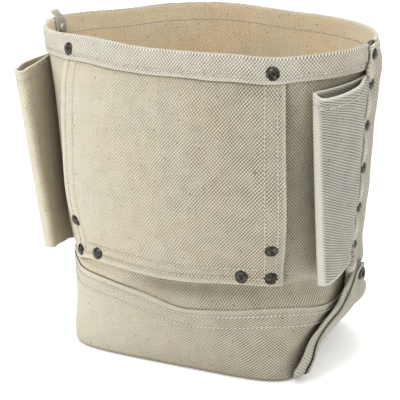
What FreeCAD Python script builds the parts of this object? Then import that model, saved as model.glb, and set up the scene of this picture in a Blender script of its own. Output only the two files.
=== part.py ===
"""Canvas bull-pin and bolt bag with a belt tunnel, two side sleeves and a boxed double bottom.

Frame: origin at the centre of the base, +Z up, +X across the width, the belt tunnel on the -Y side.
Every cloth layer is a shell between two offsets from the outer face of the body wall.
"""
import FreeCAD, Part
import math
import os

Vec = FreeCAD.Vector

# ---------------------------------------------------------------- driving dimensions, mm
HEIGHT = 254.0              # base to rim
PLY = 1.3                   # thickness of one canvas layer
GAP = 0.3                   # clearance between pieces that may move against each other

# Outer face of the body wall: height, half width, front depth, back depth, squareness of the outline
WALL_LEVELS = [
    (0.0, 104.5, 74.0, 76.0, 5.5),
    (25.0, 110.0, 77.0, 80.0, 3.9),
    (60.0, 115.6, 79.5, 83.0, 2.9),
    (100.0, 119.5, 81.0, 86.5, 2.3),
    (150.0, 123.6, 82.5, 89.5, 2.12),
    (200.0, 127.7, 79.5, 87.5, 2.12),
    (HEIGHT, 131.3, 71.5, 79.0, 2.4),
]
OUTLINE_POINTS = 40         # points round one outline
FAR = 400.0                 # larger than the bag, for cutting shapes

HEM_HEIGHT = 18.0
HEM_END_Y = {"front": -8.0, "back": 13.0}       # each hem stops here, clear of the seam strips

TUNNEL_HALF_WIDTH = 88.0
TUNNEL_BOTTOM = 81.5
TUNNEL_TOP = 250.0
TUNNEL_SEWN = 16.0          # height of its sewn bottom
TUNNEL_STAND_OFF = 11.0     # room for a belt behind the panel at mid height
TUNNEL_STEPS = 8

# Top edge of the double bottom on each face, from left to right: x and height
DIP_EDGE = {
    "front": [(-100.0, 67.5), (-50.0, 66.0), (10.0, 54.0), (60.0, 58.0), (100.0, 63.0)],
    "back": [(-100.0, 67.0), (-50.0, 58.5), (0.0, 54.0), (50.0, 58.5), (100.0, 67.0)],
}
DIP_REACH = 150.0           # the edge runs on level to here, past the side seams
DIP_TOP = 92.0              # above the highest point of either edge

# A folded ear's edges: y at the base and y at half height
EAR_FRONT = {"left": (-50.0, -33.0), "right": (-72.0, -43.0)}
EAR_BACK = (74.0, 43.0)
EAR_MIDDLE_Z = 42.0
EAR_APEX = 79.0
EAR_APEX_RADIUS = 7.0
EAR_THICKNESS = 4.4         # four plies pressed together

STRIP_Y = (-6.0, 12.0)      # edges of the strip over a side seam
STRIP_BOTTOM = 58.0
STRIP_TOP = 252.0
TAPE_HALF_WIDTH = 8.0
TAPE_TOP = {"left": 258.0, "right": HEIGHT}
TAPE_LOOP_HALF_WIDTH = 5.0

SLEEVE_WIDTH = 56.0
SLEEVE_SEAM_BOTTOM = 84.0
SLEEVE_SEAM_TOP = 226.0
SLEEVE_OUTER_BULGE = 9.0     # fullness of the tube on its outer side
SLEEVE_INNER_BULGE = 2.6     # and on the side that lies against the wall
SLEEVE_HEM = 10.0
HINGE_Y = -8.2              # fold line of a sleeve, just in front of the seam strip
HINGE_OFF_WALL = 4.0
# Turn towards the front panel at the bottom and top, and rise of the fold end over the seam end
SLEEVE_POSE = {
    "left": {"bottom": 9.8, "top": 3.6, "bottom_rise": -6.0, "top_rise": -2.0},
    "right": {"bottom": 9.1, "top": 26.0, "bottom_rise": -1.0, "top_rise": 2.0},
}
SLEEVE_CURL = 0.7           # share of the turn that comes gradually, as the tube curves round the wall

HEAD_RADIUS = 5.2
HEAD_HEIGHT = 2.0
SHANK_RADIUS = 1.6
BURR_RADIUS = 4.0
BURR_THICKNESS = 0.9
TUNNEL_RIVET_ARC = 81.5     # distance of a rivet column from the middle, along the cloth
TUNNEL_RIVET_TOP = 243.0
TUNNEL_RIVET_BOTTOM = 87.0
TUNNEL_RIVET_UP = 23.0
TUNNEL_RIVET_IN = 21.0
SIDE_RIVET_Z = [93.0, 124.0, 156.0, 190.0, 222.0, 244.5]
EAR_RIVET_Z = 70.0

THREAD = 0.9                # width of a thread row
THREAD_PROUD = 0.5          # and its height above the cloth


# ---------------------------------------------------------------- the wall's surface
def outline_point(level, angle):
    """Point of a squared oval at a polar angle, and its outward normal in the level's plane."""
    _, half_width, front, back, power = level
    depth = front if math.sin(angle) < 0 else back
    across = abs(math.cos(angle) / half_width) ** power
    along = abs(math.sin(angle) / depth) ** power
    radius = (across + along) ** (-1.0 / power)
    x = radius * math.cos(angle)
    y = radius * math.sin(angle)
    slope_x = math.copysign(abs(x / half_width) ** (power - 1.0) / half_width, x)
    slope_y = math.copysign(abs(y / depth) ** (power - 1.0) / depth, y)
    length = math.hypot(slope_x, slope_y)
    return x, y, slope_x / length, slope_y / length


def blend_levels(z):
    """The two wall levels round a height, and how far it lies between them."""
    for low, high in zip(WALL_LEVELS, WALL_LEVELS[1:]):
        if z <= high[0]:
            break
    return low, high, (z - low[0]) / (high[0] - low[0])


def surface(angle, z, offset):
    """Point at a height on the surface that lies a distance outside the wall's outer face."""
    low, high, part = blend_levels(z)
    a = outline_point(low, angle)
    b = outline_point(high, angle)
    x, y, nx, ny = [p + part * (q - p) for p, q in zip(a, b)]
    return Vec(x + offset * nx, y + offset * ny, z)


def angle_at_arc(z, arc):
    """Polar angle at a signed distance along the outline from the middle of the front."""
    step = math.radians(0.1) * (1 if arc > 0 else -1)
    angle = -math.pi / 2
    here = surface(angle, z, 0.0)
    travelled = 0.0
    while travelled < abs(arc):
        angle += step
        there = surface(angle, z, 0.0)
        travelled += (there - here).Length
        here = there
    return angle


def outline_wire(z, offset):
    """Closed smooth outline at a height; it starts at the middle of the back."""
    count = OUTLINE_POINTS
    angles = [math.pi / 2 + 2 * math.pi * i / count for i in range(count)]
    points = [surface(angle, z, offset) for angle in angles]
    curve = Part.BSplineCurve()
    even = [i / count for i in range(count + 1)]
    curve.interpolate(Points=points, PeriodicFlag=True, Parameters=even)
    return Part.Wire([curve.toShape()])


def heights_between(bottom, top, extra=()):
    """Every height where the wall or a layer changes slope."""
    inner = [level[0] for level in WALL_LEVELS if bottom < level[0] < top]
    inner += [z for z in extra if bottom < z < top]
    return [bottom] + sorted(set(inner)) + [top]


def offset_at(profile, z):
    """Offset at a height from a list of (height, offset) pairs, or one number for all heights."""
    if not isinstance(profile, list):
        return profile
    if z <= profile[0][0]:
        return profile[0][1]
    for (z0, d0), (z1, d1) in zip(profile, profile[1:]):
        if z <= z1:
            return d0 + (d1 - d0) * (z - z0) / (z1 - z0)
    return profile[-1][1]


def core(bottom, top, profile):
    """Solid inside the surface at an offset."""
    extra = [pair[0] for pair in profile] if isinstance(profile, list) else []
    wires = [outline_wire(z, offset_at(profile, z)) for z in heights_between(bottom, top, extra)]
    return Part.makeLoft(wires, True, True)


def shell(bottom, top, inner, outer):
    """Cloth layer all round, between two offsets."""
    return core(bottom, top, outer).cut(core(bottom, top, inner))


# ---------------------------------------------------------------- cutting shapes
def block(x0, x1, y0, y1, z0, z1):
    return Part.makeBox(x1 - x0, y1 - y0, z1 - z0, Vec(x0, y0, z0))


def side_sign(side):
    return -1.0 if side == "left" else 1.0


def side_block(side, y0, y1):
    """Block round one side seam."""
    sign = side_sign(side)
    return block(min(0, sign * FAR), max(0, sign * FAR), y0, y1, 0, FAR)


def below_dip(face, drop, y0, y1):
    """Space below the double bottom's dipped edge, lowered by a distance."""
    edge = [Vec(x, y0, z - drop) for x, z in DIP_EDGE[face]]
    left = Vec(-DIP_REACH, y0, edge[0].z)
    right = Vec(DIP_REACH, y0, edge[-1].z)
    foot_left = Vec(-DIP_REACH, y0, -1.0)
    foot_right = Vec(DIP_REACH, y0, -1.0)
    dip = Part.BSplineCurve()
    dip.interpolate(Points=edge)
    edges = [
        Part.LineSegment(foot_left, left).toShape(),
        Part.LineSegment(left, edge[0]).toShape(),
        dip.toShape(),
        Part.LineSegment(edge[-1], right).toShape(),
        Part.LineSegment(right, foot_right).toShape(),
        Part.LineSegment(foot_right, foot_left).toShape(),
    ]
    return Part.Face(Part.Wire(edges)).extrude(Vec(0, y1 - y0, 0))


def ear_outline(side):
    """Triangle with a rounded apex, its foot just below the base, as a prism along X."""
    apex = Vec(0, 0, EAR_APEX)
    shoulder = EAR_APEX - EAR_APEX_RADIUS
    front_y, front_middle = EAR_FRONT[side]
    back_y, back_middle = EAR_BACK
    corners = [Vec(0, front_y, -1.0), Vec(0, back_y, -1.0)]
    back = Vec(0, EAR_APEX_RADIUS, shoulder)
    front = Vec(0, -EAR_APEX_RADIUS, shoulder)
    edges = [
        Part.LineSegment(corners[0], corners[1]).toShape(),
        Part.Arc(corners[1], Vec(0, back_middle, EAR_MIDDLE_Z), back).toShape(),
        Part.Arc(back, apex, front).toShape(),
        Part.Arc(front, Vec(0, front_middle, EAR_MIDDLE_Z), corners[0]).toShape(),
    ]
    return Part.Face(Part.Wire(edges)).extrude(Vec(side_sign(side) * FAR, 0, 0))


# ---------------------------------------------------------------- rivets
def seat(angle, z, profile):
    """Point on a layered surface and its outward normal."""
    step = 1.0
    point = surface(angle, z, offset_at(profile, z))
    along_z = surface(angle, z + step, offset_at(profile, z + step)) - point
    along_arc = surface(angle + 0.01, z, offset_at(profile, z)) - point
    normal = along_arc.cross(along_z)
    normal.normalize()
    return point, normal


def rivet_head(point, normal, shank_length):
    """Domed head on the cloth, with its shank running inwards."""
    sphere_radius = (HEAD_RADIUS ** 2 + HEAD_HEIGHT ** 2) / (2 * HEAD_HEIGHT)
    centre = point + normal * (HEAD_HEIGHT - sphere_radius)
    dome = Part.makeSphere(sphere_radius, centre)
    head = dome.common(Part.makeCylinder(HEAD_RADIUS + 1.0, HEAD_HEIGHT + 1.0, point, normal))
    shank = Part.makeCylinder(SHANK_RADIUS, shank_length, point, normal * -1.0)
    return head.fuse(shank).removeSplitter()


def burr(point, normal, depth):
    """Washer on the inner face that the shank is clinched over."""
    base = point - normal * depth
    disc = Part.makeCylinder(BURR_RADIUS, BURR_THICKNESS, base, normal * -1.0)
    return disc.cut(Part.makeCylinder(SHANK_RADIUS, FAR, point, normal * -1.0))


def shank_holes(seats, depth):
    """Round holes that the shanks fill."""
    tools = [
        Part.makeCylinder(SHANK_RADIUS, depth + 6.0, point + normal * 3.0, normal * -1.0)
        for point, normal in seats
    ]
    return Part.makeCompound(tools)


def head_rooms(seats):
    """Space that the heads take, where a thread row stops."""
    return Part.makeCompound([
        Part.makeCylinder(HEAD_RADIUS + GAP, 2 * HEAD_HEIGHT, point - normal * HEAD_HEIGHT, normal)
        for point, normal in seats
    ])


def tunnel_top_seats():
    outer = 2 * PLY
    return [
        seat(angle_at_arc(TUNNEL_RIVET_TOP, sign * TUNNEL_RIVET_ARC), TUNNEL_RIVET_TOP, outer)
        for sign in (-1, 1)
    ]


def tunnel_bottom_seats():
    places = []
    for sign in (-1, 1):
        places.append((sign * TUNNEL_RIVET_ARC, TUNNEL_RIVET_BOTTOM))
        places.append((sign * TUNNEL_RIVET_ARC, TUNNEL_RIVET_BOTTOM + TUNNEL_RIVET_UP))
        places.append((sign * (TUNNEL_RIVET_ARC - TUNNEL_RIVET_IN), TUNNEL_RIVET_BOTTOM))
    return [seat(angle_at_arc(z, arc), z, TUNNEL_OUTER) for arc, z in places]


def side_seats(side):
    angle = 0.0 if side == "right" else math.pi
    return [seat(angle, z, STRIP_OUTER) for z in SIDE_RIVET_Z]


def ear_seat(side):
    angle = 0.0 if side == "right" else math.pi
    return [seat(angle, EAR_RIVET_Z, EAR_OUTER)]


# ---------------------------------------------------------------- layer profiles, (height, offset)
def tunnel_profile():
    """Sewn flat at the bottom and under the hem, and standing off the wall between."""
    low = TUNNEL_BOTTOM + TUNNEL_SEWN
    high = HEIGHT - HEM_HEIGHT
    profile = [(TUNNEL_BOTTOM, 0.0)]
    for i in range(TUNNEL_STEPS + 1):
        part = i / TUNNEL_STEPS
        bulge = 1.0 - abs(2.0 * part - 1.0) ** 2.6
        profile.append((low + part * (high - low), TUNNEL_STAND_OFF * bulge))
    profile.append((TUNNEL_TOP, 0.0))
    return profile


TUNNEL_INNER = tunnel_profile()
TUNNEL_OUTER = [(z, d + PLY) for z, d in TUNNEL_INNER]
STRIP_INNER = [(STRIP_BOTTOM, PLY + 0.1), (SLEEVE_SEAM_BOTTOM - 4.0, 2 * PLY), (STRIP_TOP, 2 * PLY)]
STRIP_OUTER = [(z, d + 2 * PLY) for z, d in STRIP_INNER]
EAR_INNER = [(0.0, PLY + 0.2), (STRIP_BOTTOM, 4.2), (EAR_APEX, 2 * PLY + 2 * PLY + 0.1)]
EAR_OUTER = [(z, d + EAR_THICKNESS) for z, d in EAR_INNER]


# ---------------------------------------------------------------- cloth pieces
def body_wall(face):
    """Front or back wall, from the base plate to the rim."""
    wall = shell(2 * PLY, HEIGHT, -PLY, 0.0)
    keep = block(-FAR, FAR, -FAR, 0, -1, FAR) if face == "front" else block(-FAR, FAR, 0, FAR, -1, FAR)
    return wall.common(keep)


def body_base():
    return core(PLY, 2 * PLY, 0.0)


def hem(face):
    """Rim of the wall turned outwards: a double ply that stops short of the side seams."""
    band = shell(HEIGHT - HEM_HEIGHT, HEIGHT, 0.0, 2 * PLY)
    if face == "front":
        return band.common(block(-FAR, FAR, -FAR, HEM_END_Y[face], 0, FAR))
    return band.common(block(-FAR, FAR, HEM_END_Y[face], FAR, 0, FAR))


def belt_tunnel():
    """Panel that stands off the wall between its sewn top and bottom, open at both sides."""
    panel = shell(TUNNEL_BOTTOM, TUNNEL_TOP, TUNNEL_INNER, TUNNEL_OUTER)
    return panel.common(block(-TUNNEL_HALF_WIDTH, TUNNEL_HALF_WIDTH, -FAR, 0, 0, FAR))


def bottom_patch(face):
    """Double bottom's front or back flap, with its dipped top edge."""
    skin = shell(PLY, DIP_TOP, 0.0, PLY)
    if face == "front":
        return skin.common(below_dip(face, 0.0, -FAR, 0.0))
    return skin.common(below_dip(face, 0.0, 0.0, FAR))


def bottom_patch_base():
    return core(0.0, PLY, PLY)


def ear(side):
    """Boxed corner's triangle, folded up against the side."""
    return shell(0.0, EAR_APEX + 3.0, EAR_INNER, EAR_OUTER).common(ear_outline(side))


def seam_strip(side):
    band = shell(STRIP_BOTTOM, STRIP_TOP, STRIP_INNER, STRIP_OUTER)
    return band.common(side_block(side, *STRIP_Y))


def seam_tape(side):
    """Tape inside the side seam; the end of the left one stands above the rim."""
    inside = shell(2 * PLY, HEIGHT, -2 * PLY, -PLY)
    piece = inside.common(side_block(side, -TAPE_HALF_WIDTH, TAPE_HALF_WIDTH))
    if TAPE_TOP[side] > HEIGHT:
        face_x = WALL_LEVELS[-1][1] - PLY
        outer = side_sign(side) * (face_x - 0.1)
        inner = side_sign(side) * (face_x - PLY + 0.1)
        low, high = min(outer, inner), max(outer, inner)
        loop = block(low, high, -TAPE_LOOP_HALF_WIDTH, TAPE_LOOP_HALF_WIDTH, HEIGHT - 1.0, TAPE_TOP[side])
        piece = piece.fuse(loop)
    return piece


# ---------------------------------------------------------------- sleeves
def hinge_point(side, z):
    """Point on the straight fold line between a sleeve and its seam."""
    ends = [surface(0.0, zz, HINGE_OFF_WALL).x for zz in (SLEEVE_SEAM_BOTTOM, SLEEVE_SEAM_TOP)]
    part = (z - SLEEVE_SEAM_BOTTOM) / (SLEEVE_SEAM_TOP - SLEEVE_SEAM_BOTTOM)
    return Vec(side_sign(side) * (ends[0] + part * (ends[1] - ends[0])), HINGE_Y, z)


def sleeve_point(side, part, along, across):
    """Point of a sleeve: part 0 bottom to 1 top, along from the seam to the fold, across it."""
    pose = SLEEVE_POSE[side]
    sign = side_sign(side)
    turn = math.radians(pose["bottom"] + part * (pose["top"] - pose["bottom"]))
    turn = turn * (1.0 - SLEEVE_CURL + SLEEVE_CURL * along / SLEEVE_WIDTH)
    rise = pose["bottom_rise"] + part * (pose["top_rise"] - pose["bottom_rise"])
    z = SLEEVE_SEAM_BOTTOM + part * (SLEEVE_SEAM_TOP - SLEEVE_SEAM_BOTTOM)
    base = hinge_point(side, z)
    x = base.x + sign * (-along * math.sin(turn) + across * math.cos(turn))
    y = base.y - along * math.cos(turn) - across * math.sin(turn)
    return Vec(x, y, z + rise * (base.y - y) / SLEEVE_WIDTH)


def sleeve_wire(side, part, inset):
    """Flattened tube: pinched at the seam, fullest past its middle, rounded at the fold."""
    start = 0.5 + 3.5 * inset
    pinch = 1.4 if inset == 0 else 0.25
    outer = SLEEVE_OUTER_BULGE - inset
    inner = SLEEVE_INNER_BULGE - inset
    nose = 3.4 - inset
    middle = 0.52 * SLEEVE_WIDTH
    neck = SLEEVE_WIDTH - 4.5
    tip = SLEEVE_WIDTH - inset

    def at(along, across):
        return sleeve_point(side, part, along, across)

    edges = [
        Part.Arc(at(start, pinch), at(middle, outer), at(neck, nose)).toShape(),
        Part.Arc(at(neck, nose), at(tip, 0.0), at(neck, -nose)).toShape(),
        Part.Arc(at(neck, -nose), at(middle, -inner), at(start, -pinch)).toShape(),
        Part.LineSegment(at(start, -pinch), at(start, pinch)).toShape(),
    ]
    return Part.Wire(edges)


def sleeve_core(side, inset, low, high):
    return Part.makeLoft([sleeve_wire(side, low, inset), sleeve_wire(side, high, inset)], True, True)


def sleeve_part(height_below_top):
    return 1.0 - height_below_top / (SLEEVE_SEAM_TOP - SLEEVE_SEAM_BOTTOM)


def sleeve(side):
    return sleeve_core(side, 0.0, 0.0, 1.0).cut(sleeve_core(side, PLY, -0.02, 1.02))


def sleeve_hem(side):
    """Mouth of the sleeve turned inwards."""
    low = sleeve_part(SLEEVE_HEM)
    thick = 0.8
    ring = sleeve_core(side, PLY + 0.25, low, 1.0)
    return ring.cut(sleeve_core(side, PLY + thick, low - 0.02, 1.02))


def sleeve_tail(side):
    """The sleeve's two free edges, sewn between the wall and the outer strip."""
    band = shell(SLEEVE_SEAM_BOTTOM, SLEEVE_SEAM_TOP, 0.0, 2 * PLY)
    return band.common(side_block(side, *STRIP_Y))


def sleeve_thread(side):
    """Thread row round the sleeve's mouth."""
    low = sleeve_part(SLEEVE_HEM - 2.0)
    high = sleeve_part(SLEEVE_HEM - 2.0 - THREAD)
    ring = sleeve_core(side, -THREAD_PROUD, low, high)
    return ring.cut(sleeve_core(side, 0.0, 0.0, 1.0))


# ---------------------------------------------------------------- thread rows
def hem_thread(face):
    z = HEIGHT - HEM_HEIGHT + 3.5
    row = shell(z, z + THREAD, 2 * PLY, 2 * PLY + THREAD_PROUD)
    if face == "front":
        return row.common(block(-FAR, FAR, -FAR, HEM_END_Y[face] - 2.0, 0, FAR))
    return row.common(block(-FAR, FAR, HEM_END_Y[face] + 2.0, FAR, 0, FAR))


def tunnel_proud():
    """Shell just outside the tunnel panel, which its thread rows are cut from."""
    outer = [(z, d + THREAD_PROUD) for z, d in TUNNEL_OUTER]
    return shell(TUNNEL_BOTTOM, HEIGHT - HEM_HEIGHT, TUNNEL_OUTER, outer)


def tunnel_side_thread():
    skin = tunnel_proud()
    rows = []
    for sign in (-1, 1):
        for x in (TUNNEL_HALF_WIDTH - 4.0, TUNNEL_HALF_WIDTH - 13.0):
            left = sign * x - THREAD / 2
            rows.append(skin.common(block(left, left + THREAD, -FAR, 0, TUNNEL_BOTTOM + 2.5, FAR)))
    return Part.makeCompound(rows)


def tunnel_bottom_thread():
    skin = tunnel_proud()
    edge = TUNNEL_HALF_WIDTH - 14.0
    rows = [
        skin.common(block(-edge, edge, -FAR, 0, TUNNEL_BOTTOM + up, TUNNEL_BOTTOM + up + THREAD))
        for up in (4.0, 11.0)
    ]
    return Part.makeCompound(rows)


def patch_thread(face):
    """Two thread rows that follow the double bottom's dipped edge."""
    skin = shell(PLY, DIP_TOP, PLY, PLY + THREAD_PROUD)
    y0, y1 = (-FAR, -40.0) if face == "front" else (40.0, FAR)
    rows = []
    for drop in (4.0, 13.5):
        band = below_dip(face, drop, y0, y1).cut(below_dip(face, drop + THREAD, y0, y1))
        rows.append(skin.common(band))
    return Part.makeCompound(rows)


# ---------------------------------------------------------------- the bag
def drilled(pieces, names, seats, depth):
    """Cut the shank holes of one group of rivets through the pieces that it joins."""
    holes = shank_holes(seats, depth)
    for name in names:
        pieces[name] = pieces[name].cut(holes)


def build():
    pieces = {
        "body_front": body_wall("front"),
        "body_back": body_wall("back"),
        "body_base": body_base(),
        "belt_tunnel": belt_tunnel(),
        "hem_back": hem("back"),
        "bottom_patch_front": bottom_patch("front"),
        "bottom_patch_back": bottom_patch("back"),
        "bottom_patch_base": bottom_patch_base(),
        "thread_hem_front": hem_thread("front"),
        "thread_hem_back": hem_thread("back"),
        "thread_tunnel_sides": tunnel_side_thread(),
        "thread_tunnel_bottom": tunnel_bottom_thread(),
        "thread_patch_front": patch_thread("front"),
        "thread_patch_back": patch_thread("back"),
    }
    pieces["hem_front"] = hem("front").cut(pieces["belt_tunnel"])
    for side in ("left", "right"):
        pieces["ear_" + side] = ear(side)
        pieces["seam_strip_" + side] = seam_strip(side)
        pieces["seam_tape_" + side] = seam_tape(side)
        pieces["sleeve_" + side] = sleeve(side)
        pieces["sleeve_hem_" + side] = sleeve_hem(side)
        pieces["sleeve_tail_" + side] = sleeve_tail(side)
        pieces["thread_sleeve_" + side] = sleeve_thread(side)

    groups = {
        "tunnel_top": (tunnel_top_seats(), 3 * PLY, ["body_front", "belt_tunnel", "hem_front"]),
        "tunnel_bottom": (tunnel_bottom_seats(), 2 * PLY, ["body_front", "belt_tunnel"]),
    }
    for side in ("left", "right"):
        layers = ["body_front", "body_back", "seam_strip_" + side, "seam_tape_" + side]
        groups["seam_" + side] = (side_seats(side), 6 * PLY, layers + ["sleeve_tail_" + side])
        layers = layers + ["bottom_patch_front", "bottom_patch_back", "ear_" + side]
        groups["ear_" + side] = (ear_seat(side), 6 * PLY + EAR_THICKNESS, layers)
    rooms = head_rooms(groups["tunnel_bottom"][0])
    for name in ("thread_tunnel_sides", "thread_tunnel_bottom"):
        pieces[name] = pieces[name].cut(rooms)
    pieces["thread_hem_front"] = pieces["thread_hem_front"].cut(head_rooms(groups["tunnel_top"][0]))
    for name, (seats, depth, cloth) in groups.items():
        drilled(pieces, cloth, seats, depth)
        reach = depth + GAP + BURR_THICKNESS
        heads = [rivet_head(point, normal, reach) for point, normal in seats]
        burrs = [burr(point, normal, depth + GAP) for point, normal in seats]
        pieces["rivets_" + name] = Part.makeCompound(heads)
        pieces["burrs_" + name] = Part.makeCompound(burrs)
    return pieces


def write(pieces):
    os.makedirs("parts", exist_ok=True)
    for name, shape in sorted(pieces.items()):
        solids = shape.Solids
        whole = solids[0] if len(solids) == 1 else Part.makeCompound(solids)
        whole.exportStep("parts/" + name + ".step")
        box = whole.BoundBox
        print(name, len(solids), "solids", round(whole.Volume), "mm3", "valid", whole.isValid(),
              [round(v, 1) for v in (box.XMin, box.XMax, box.YMin, box.YMax, box.ZMin, box.ZMax)])


write(build())
for hinge_side in ("left", "right"):
    hinge_ends = [hinge_point(hinge_side, z) for z in (SLEEVE_SEAM_BOTTOM, SLEEVE_SEAM_TOP)]
    print("hinge", hinge_side, hinge_ends)
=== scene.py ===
import math
from functools import partial

import bpy
import numpy as np
from mathutils import Matrix, Vector


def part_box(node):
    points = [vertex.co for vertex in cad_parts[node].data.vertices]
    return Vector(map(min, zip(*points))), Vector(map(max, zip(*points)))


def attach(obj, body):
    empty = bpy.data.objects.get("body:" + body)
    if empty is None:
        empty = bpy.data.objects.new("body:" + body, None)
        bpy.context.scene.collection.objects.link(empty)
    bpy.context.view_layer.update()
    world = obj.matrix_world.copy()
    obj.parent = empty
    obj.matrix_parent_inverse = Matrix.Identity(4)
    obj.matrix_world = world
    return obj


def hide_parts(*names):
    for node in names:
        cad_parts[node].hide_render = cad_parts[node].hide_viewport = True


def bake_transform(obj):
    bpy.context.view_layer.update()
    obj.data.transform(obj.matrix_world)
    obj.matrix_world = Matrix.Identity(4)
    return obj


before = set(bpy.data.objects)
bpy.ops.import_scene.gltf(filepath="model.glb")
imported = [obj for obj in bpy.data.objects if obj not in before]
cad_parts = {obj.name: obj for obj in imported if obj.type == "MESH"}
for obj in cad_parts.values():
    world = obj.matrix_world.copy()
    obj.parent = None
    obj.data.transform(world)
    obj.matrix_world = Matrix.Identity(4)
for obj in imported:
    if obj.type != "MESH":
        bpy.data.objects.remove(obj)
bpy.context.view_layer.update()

MM = 0.001                  # lengths below are in millimetres, and meshes are written in metres
TAU = 2 * math.pi

# ---- dimensions of the bag, mm
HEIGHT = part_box("body_front")[1][2] / MM
PLY = 1.3                   # one canvas layer
# Outer face of the wall: height, half width, front depth, back depth, squareness of the outline
WALL_LEVELS = np.array([
    (0, 104.5, 74, 76, 5.5),
    (25, 110, 77, 80, 3.9),
    (60, 115.6, 79.5, 83, 2.9),
    (100, 119.5, 81, 86.5, 2.3),
    (150, 123.6, 82.5, 89.5, 2.12),
    (200, 127.7, 79.5, 87.5, 2.12),
    (HEIGHT, 131.3, 71.5, 79, 2.4),
])
FOOT_RADIUS = 4             # rounding between the wall and the base
GRID = 2.1                  # spacing of a cloth grid

HEM_HEIGHT = 18
HEM_SEAM = 3.5              # stitch row above the hem's lower edge
HEM_END = 8                 # distance of each hem end from the side seam

TUNNEL_BOTTOM = 81.5
TUNNEL_TOP = 248
TUNNEL_HALF = 90            # half width along the cloth
TUNNEL_STAND_OFF = 10.6
TUNNEL_SIDE_SEAMS = (4.5, 13)  # stitch columns in from a side edge
TUNNEL_FOOT_SEAMS = (4.2, 11.2)  # stitch rows up from the bottom edge

# Top edge of the double bottom on each face: x and height
DIP_EDGE = {
    "front": [(-150, 67.5), (-95, 67.6), (-52, 66), (-22, 60), (10, 54.2), (38, 55.4),
              (70, 58.8), (98, 58.8), (116, 54), (150, 52)],
    "back": [(-150, 67), (-95, 66), (-50, 58.5), (0, 54), (50, 58.5), (95, 66), (150, 67)],
}
DIP_SEAMS = (4, 13)         # stitch rows below the edge
DIP_DEPTH = 54              # nominal height of the flap

# Edges of a corner ear: height and distance from the side seam along the cloth
EAR_EDGE = {
    "right": [(0, 60), (5, 65.5), (11, 66.5), (18, 63), (30, 55.5), (41, 46),
              (51, 35.5), (60, 24), (68, 14), (74, 8), (79, 2.2)],
    "left": [(0, 49), (18, 44), (30, 39), (41, 33), (51, 26), (60, 18), (68, 11.5),
             (74, 7.5), (79, 2.2)],
    "back": [(0, 72), (18, 64), (30, 56), (41, 46), (51, 35.5), (60, 24), (68, 14),
             (74, 8), (79, 2.2)],
}
EAR_TOP = 79
# Lift of an ear off the wall at its foot, middle and top
EAR_LIFT = {"right": (PLY + 0.3, 6, 8.4), "left": (PLY + 0.3, 3.6, 5)}

STRIP_FRONT = 7.5           # reach of the strip before and behind the side seam
STRIP_BACK = 12
STRIP_BOTTOM = 58
STRIP_TOP = 252.6
TAPE_HALF = 8

SLEEVE_WIDTH = 56
SLEEVE_BOTTOM = 84
SLEEVE_TOP = 226
SLEEVE_HEM = 10
SLEEVE_OUTER = 9            # fullness of the tube away from the wall
SLEEVE_INNER = 2.6          # and towards it
HINGE_Y = -8.2
HINGE_OFF_WALL = 4
# Turn towards the front at the bottom and top, in degrees, and rise of the fold over the seam
SLEEVE_POSE = {
    "left": {"bottom": 9.8, "top": 3.6, "bottom_rise": -6, "top_rise": -2},
    "right": {"bottom": 5.8, "top": 26, "bottom_rise": -1, "top_rise": 2},
}
# How far the outer ply gapes at the mouth, flattens at the foot and droops at its rim, and how far
# the mouth and the foot rise towards the seam
SLEEVE_MOUTH = {
    "left": {"gape": 0, "flat": 0, "droop": 0, "seam_up": 0, "foot_up": -17},
    "right": {"gape": 4, "flat": 2.5, "droop": 2.8, "seam_up": 6, "foot_up": 8},
}
SLEEVE_CURL = 0.7           # share of the turn that comes gradually

RIVET_ARC = {"left": -83.5, "right": 81.5}
RIVET_TOP = 243
RIVET_FOOT = 87
RIVET_UP = 23
RIVET_IN = 21
SIDE_RIVETS = [93, 124, 156, 190, 222, 244.5]
EAR_RIVET = 70

STITCH_PITCH = 3.4
STITCH_LENGTH = 2.75
STITCH_RADIUS = 0.6

SIGN = {"right": 1, "left": -1}  # which way along X a side lies


# ---- small numeric helpers
def ramp(value, start, end):
    """Smooth step from 0 at start to 1 at end; start may be the larger."""
    t = np.clip((value - start) / (end - start), 0, 1)
    return t * t * (3 - 2 * t)


def bump(value, centre, half_width):
    """Smooth bell, 1 at its centre and 0 outside its half width."""
    t = np.clip(np.abs(value - centre) / half_width, 0, 1)
    return 0.5 + 0.5 * np.cos(math.pi * t)


def ripple(a, b, length, seed):
    """Smooth uneven waves over two coordinates, mostly between -1 and 1."""
    rng = np.random.default_rng(seed)
    total = 0
    for _ in range(5):
        heading, phase = rng.uniform(0, TAU, 2)
        stretch = rng.uniform(0.7, 1.6)
        along = a * math.cos(heading) + b * math.sin(heading)
        total = total + np.sin(TAU * along / (length * stretch) + phase)
    return total / 2.5


def smooth_curve(points, value):
    """Height of a smooth curve through points, by Catmull-Rom slopes."""
    xs = np.array([p[0] for p in points])
    ys = np.array([p[1] for p in points])
    slopes = np.gradient(ys, xs)
    value = np.clip(value, xs[0], xs[-1])
    i = np.clip(np.searchsorted(xs, value) - 1, 0, len(xs) - 2)
    span = xs[i + 1] - xs[i]
    t = (value - xs[i]) / span
    return ((2 * t ** 3 - 3 * t ** 2 + 1) * ys[i] + (t ** 3 - 2 * t ** 2 + t) * span * slopes[i]
            + (3 * t ** 2 - 2 * t ** 3) * ys[i + 1] + (t ** 3 - t ** 2) * span * slopes[i + 1])


def lines(start, end, step, seams=()):
    """Grid lines from start to end, closer together at each seam."""
    count = max(2, int(round((end - start) / step)) + 1)
    regular = np.linspace(start, end, count)
    fine = np.array([s + d for s in seams for d in (-1.5, -0.8, 0, 0.8, 1.5)])
    if len(fine):
        far = [abs(fine - x).min() > 0.6 or x in (start, end) for x in regular]
        regular = np.concatenate((regular[far], fine))
    return np.unique(np.clip(regular, start, end))


def run_length(points):
    """Length travelled at each point of a line."""
    return np.concatenate(([0], np.cumsum(np.linalg.norm(np.diff(points, axis=0), axis=1))))


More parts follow.
